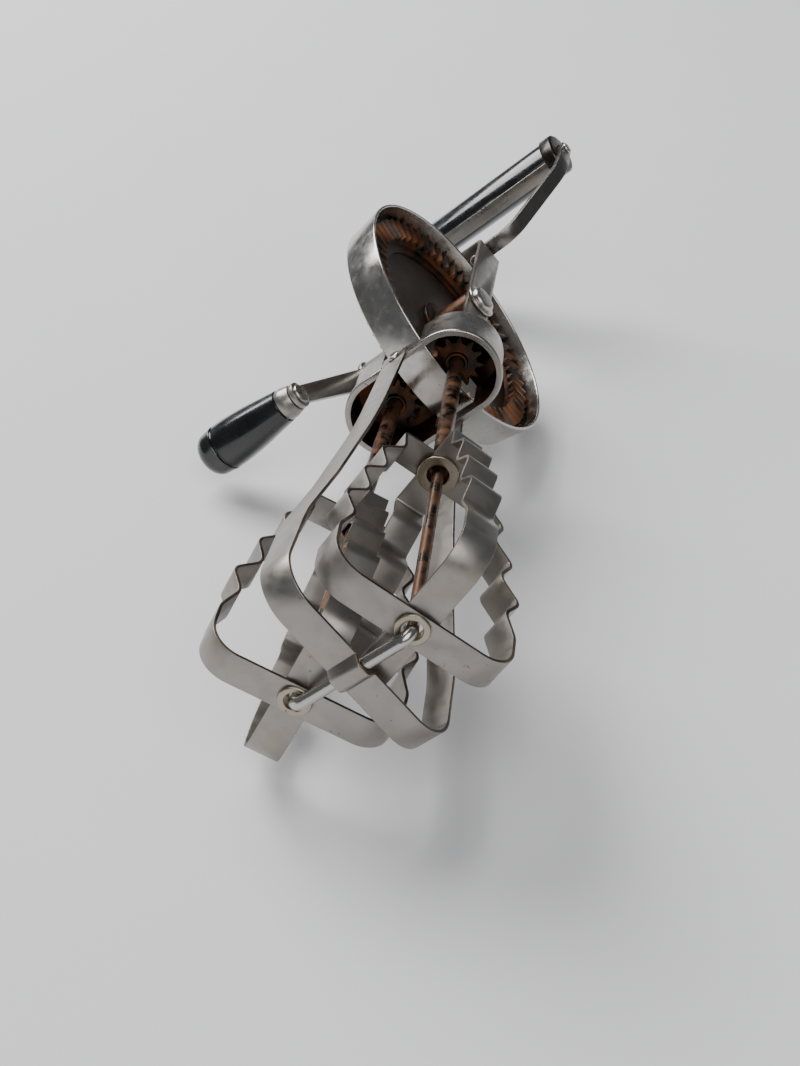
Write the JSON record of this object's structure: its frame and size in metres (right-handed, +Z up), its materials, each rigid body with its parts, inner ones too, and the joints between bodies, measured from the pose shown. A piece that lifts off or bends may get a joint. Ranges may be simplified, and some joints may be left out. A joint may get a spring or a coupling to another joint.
{
  "type": "rotary egg beater",
  "caption": "Hand-cranked rotary egg beater lying on its side: two intermeshing strip beaters, a geared crank wheel, a side knob and a D handle with a black grip.",
  "frame": {"origin": "centre of the object's footprint box on the table it lies on", "axes": "+Z up from the table; +Y along the tool, from the beaters towards the handle; -X towards the crank knob"},
  "size_m": [0.1068, 0.307, 0.079],
  "materials": {
    "chrome_strip": "bright plated steel strip, lightly tarnished",
    "frame_steel": "bright plated steel, lightly tarnished",
    "wire_steel": "bare steel wire, dull with brown rust film",
    "wheel_chrome": "bright plated pressed steel",
    "gear_steel": "dark oiled steel",
    "housing_chrome": "bright plated pressed steel",
    "eyelet_steel": "plated eyelet, worn to brown",
    "rivet_steel": "bright rivet steel",
    "crank_steel": "plated steel bar, satin",
    "handle_chrome": "plated steel strap, darkened",
    "grip_black": "glossy black moulded or painted grip",
    "knob_black": "glossy black moulded or painted knob"
  },
  "bodies": {
    "frame": {"left_thrust_washer": "gear_steel", "grip_cap_left": "handle_chrome", "grip_pin_left": "rivet_steel", "right_thrust_washer": "gear_steel", "grip_cap_right": "handle_chrome", "grip_pin_right": "rivet_steel", "shaft_wire": "wire_steel", "strap_frame": "frame_steel", "pinion_housing": "housing_chrome", "strap_rivet_front": "rivet_steel", "strap_rivet_back": "rivet_steel", "frame_plate": "frame_steel", "foot_rivet": "rivet_steel", "tab_rivet_inner": "rivet_steel", "tab_rivet_outer": "rivet_steel", "handle_strap": "handle_chrome", "grip": "grip_black", "grip_rail": "handle_chrome"},
    "crank": {"drive_wheel": "wheel_chrome", "crown_ring_open": "gear_steel", "crown_ring_back": "gear_steel", "wheel_hub": "gear_steel", "crank_sleeve": "crank_steel", "axle_washer": "rivet_steel", "wheel_axle": "rivet_steel", "crank_arm": "crank_steel", "knob_pin": "rivet_steel"},
    "knob": {"knob_ferrule": "crank_steel", "crank_knob": "knob_black"},
    "left_beater": {"left_loop_outer": "chrome_strip", "left_loop_inner": "chrome_strip", "left_bottom_eyelet": "eyelet_steel", "left_top_eyelet": "eyelet_steel", "left_beater_tube": "wire_steel", "left_pinion": "gear_steel"},
    "right_beater": {"right_loop_outer": "chrome_strip", "right_loop_inner": "chrome_strip", "right_bottom_eyelet": "eyelet_steel", "right_top_eyelet": "eyelet_steel", "right_beater_tube": "wire_steel", "right_pinion": "gear_steel"}
  },
  "joints": [
    {"name": "crank_turn", "type": "hinge", "parent": "frame", "child": "crank", "pos_m": [0.01593, 0.04251, 0.03747], "axis": [0.7299, 0.0188, 0.6833], "continuous": true},
    {"name": "knob_spin", "type": "hinge", "parent": "crank", "child": "knob", "pos_m": [-0.02591, -0.00903, 0.03163], "axis": [0.7299, 0.0188, 0.6833], "continuous": true},
    {"name": "left_beater_spin", "type": "hinge", "parent": "frame", "child": "left_beater", "pos_m": [0.00265, -0.14726, 0.03026], "axis": [0.0293, 0.9996, -0.0001], "continuous": true},
    {"name": "right_beater_spin", "type": "hinge", "parent": "frame", "child": "right_beater", "pos_m": [0.02921, -0.14657, 0.05513], "axis": [-0.0293, 0.9981, -0.055], "continuous": true}
  ],
  "couplings": [
    {"joint": "left_beater_spin", "follows": "crank_turn", "ratio": 4.8333},
    {"joint": "right_beater_spin", "follows": "crank_turn", "ratio": -4.8333}
  ]
}
